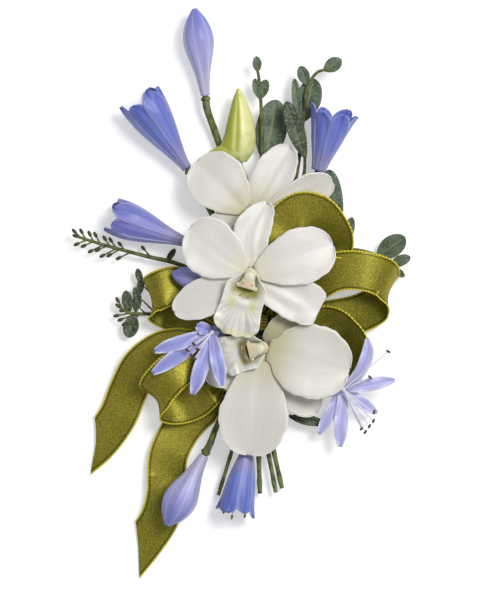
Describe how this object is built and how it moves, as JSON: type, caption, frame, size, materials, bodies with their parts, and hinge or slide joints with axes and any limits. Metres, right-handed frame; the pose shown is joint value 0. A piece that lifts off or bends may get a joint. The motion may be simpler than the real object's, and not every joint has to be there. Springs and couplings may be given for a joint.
{
  "type": "corsage",
  "caption": "Wired corsage of white orchids, blue agapanthus florets and eucalyptus, bound on a taped stem bundle with an olive satin bow, long tails and a pin.",
  "frame": {"origin": "middle of the bounding box's bottom, on the table that the corsage lies on", "axes": "+X to the viewer's right, +Y up the stems towards the top bud, +Z out of the flowers' faces"},
  "size_m": [0.1422, 0.24, 0.0303],
  "materials": {
    "petal": "white orchid petal, soft satin with faint veins",
    "lip": "cream lip with a yellow-green throat and ruffled rim",
    "column": "cream-peach, waxy",
    "green_bud": "yellow-green bud, waxy",
    "floret": "blue petals with darker midveins",
    "floret_bud": "pale blue closed bud with darker seams",
    "stamen": "pale filaments with dark anthers",
    "stem": "wired stems wrapped in green floral tape",
    "leaf": "grey-green eucalyptus with a pale midrib",
    "seeded": "dark olive seed buds and small leaves",
    "ribbon": "olive satin with a gold stitched edge",
    "tape": "crinkled waxed floral tape",
    "wire": "green lacquered tie wire",
    "pin": "steel pin with a pearl head"
  },
  "bodies": {
    "spray": {"centre_orchid_dorsal_sepal": "petal", "centre_orchid_left_petal": "petal", "centre_orchid_right_petal": "petal", "centre_orchid_left_sepal": "petal", "centre_orchid_right_sepal": "petal", "centre_orchid_lip": "lip", "centre_orchid_column": "column", "lower_orchid_dorsal_sepal": "petal", "lower_orchid_left_petal": "petal", "lower_orchid_right_petal": "petal", "lower_orchid_left_sepal": "petal", "lower_orchid_right_sepal": "petal", "lower_orchid_lip": "lip", "lower_orchid_column": "column", "upper_orchid_dorsal_sepal": "petal", "upper_orchid_left_petal": "petal", "upper_orchid_right_petal": "petal", "upper_orchid_left_sepal": "petal", "upper_orchid_right_sepal": "petal", "upper_orchid_lip": "lip", "upper_orchid_column": "column", "orchid_bud": "green_bud", "stem_bundle": "stem", "binding_tape": "tape", "top_bud_stem": "stem", "lower_left_bud_stem": "stem", "upper_left_floret_stem": "stem", "left_floret_stem": "stem", "bottom_bell": "floret", "bottom_bell_stem": "stem", "upper_right_floret": "floret", "upper_right_floret_stem": "stem", "hidden_floret": "floret", "left_star": "floret", "left_star_stem": "stem", "left_star_stamens": "stamen", "right_star": "floret", "right_star_stem": "stem", "right_star_stamens": "stamen", "ribbon_knot": "ribbon", "tie_wire": "wire", "upper_right_loop": "ribbon", "right_loop": "ribbon", "lower_right_loop": "ribbon", "left_loop": "ribbon", "lower_left_loop": "ribbon", "left_tail": "ribbon", "lower_tail": "ribbon", "eucalyptus_tip_sprig": "leaf", "eucalyptus_right_sprig": "leaf", "long_leaf": "leaf", "right_leaf_sprig": "leaf", "lower_right_leaf": "leaf", "seeded_sprig_upper": "seeded", "seeded_sprig_lower": "seeded"},
    "top_bud_head": {"top_bud": "floret_bud"},
    "upper_left_floret_head": {"upper_left_floret": "floret"},
    "left_floret_head": {"left_floret": "floret"},
    "lower_left_bud_head": {"lower_left_bud": "floret_bud"},
    "pin": {"corsage_pin": "pin"}
  },
  "joints": [
    {"name": "top_bud_bend", "type": "hinge", "parent": "spray", "child": "top_bud_head", "pos_m": [-0.01508, 0.08134, 0.0071], "axis": [0, 0, 1], "range_deg": [-12, 12]},
    {"name": "upper_left_floret_bend", "type": "hinge", "parent": "spray", "child": "upper_left_floret_head", "pos_m": [-0.02185, 0.05103, 0.00815], "axis": [0, 0, 1], "range_deg": [-3, 14]},
    {"name": "left_floret_bend", "type": "hinge", "parent": "spray", "child": "left_floret_head", "pos_m": [-0.02235, 0.02132, 0.00782], "axis": [0, 0, 1], "range_deg": [-14, 2]},
    {"name": "lower_left_bud_bend", "type": "hinge", "parent": "spray", "child": "lower_left_bud_head", "pos_m": [-0.01491, -0.06627, 0.01195], "axis": [0, 0, 1], "range_deg": [-12, 12]},
    {"name": "pin_slide", "type": "slide", "parent": "spray", "child": "pin", "axis": [1, 0, 0], "range_m": [0, 0.038]}
  ]
}
